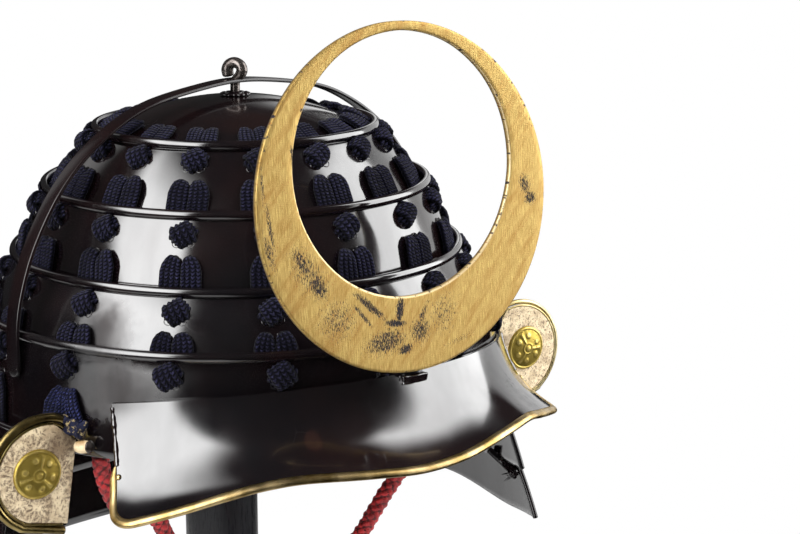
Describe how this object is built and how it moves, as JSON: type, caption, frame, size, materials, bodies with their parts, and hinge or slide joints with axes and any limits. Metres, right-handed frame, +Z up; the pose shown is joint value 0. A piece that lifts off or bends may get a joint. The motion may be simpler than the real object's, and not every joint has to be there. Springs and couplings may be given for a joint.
{
  "type": "samurai helmet on display stand",
  "caption": "Collapsible samurai helmet of laced, black-lacquered iron lames with visor, neck guard, gilt ring crest and red chin cord, resting on a black post display stand.",
  "frame": {"origin": "centre of the stand base's underside, on the ground", "axes": "+Z up, the helmet's front (visor and crest) towards -Y, the wearer's left towards +X"},
  "size_m": [0.2885, 0.2811, 0.432],
  "materials": {
    "lacquer": "polished black lacquer with a brown cast, fine scratches and small worn spots",
    "dark_iron": "dark polished iron",
    "navy_silk": "braided navy silk cord",
    "gold_leaf": "matte gold leaf, worn through to black in patches",
    "gilt": "polished gilding",
    "stencilled_leather": "aged cream leather printed with small dark leaf strokes",
    "red_silk": "crimson braided cord",
    "stand_black": "satin black paint"
  },
  "bodies": {
    "root": {"crown_plate": "lacquer", "lame_1": "lacquer", "lame_2": "lacquer", "lame_3": "lacquer", "brow_band": "lacquer", "support_arch": "lacquer", "visor": "lacquer", "neck_lame_1": "lacquer", "neck_lame_2": "lacquer", "neck_lame_3": "lacquer", "neck_lame_4": "lacquer", "crown_washer": "dark_iron", "crown_pin": "dark_iron", "crest_prong": "dark_iron", "cord_ring_left": "dark_iron", "cord_ring_right": "dark_iron", "lace_row_crown": "navy_silk", "lace_row_1": "navy_silk", "lace_row_2": "navy_silk", "lace_row_3": "navy_silk", "guard_lace_1": "navy_silk", "guard_lace_2": "navy_silk", "guard_lace_3": "navy_silk", "guard_lace_4": "navy_silk", "crest_ring": "gold_leaf", "visor_rim": "gilt", "wing_rim_left": "gilt", "wing_rim_right": "gilt", "wing_disc_left": "gilt", "wing_disc_right": "gilt", "wing_leather_left": "stencilled_leather", "wing_leather_right": "stencilled_leather", "chin_cord": "red_silk", "stand_base": "stand_black", "stand_post": "stand_black", "stand_cap": "stand_black"}
  },
  "joints": []
}
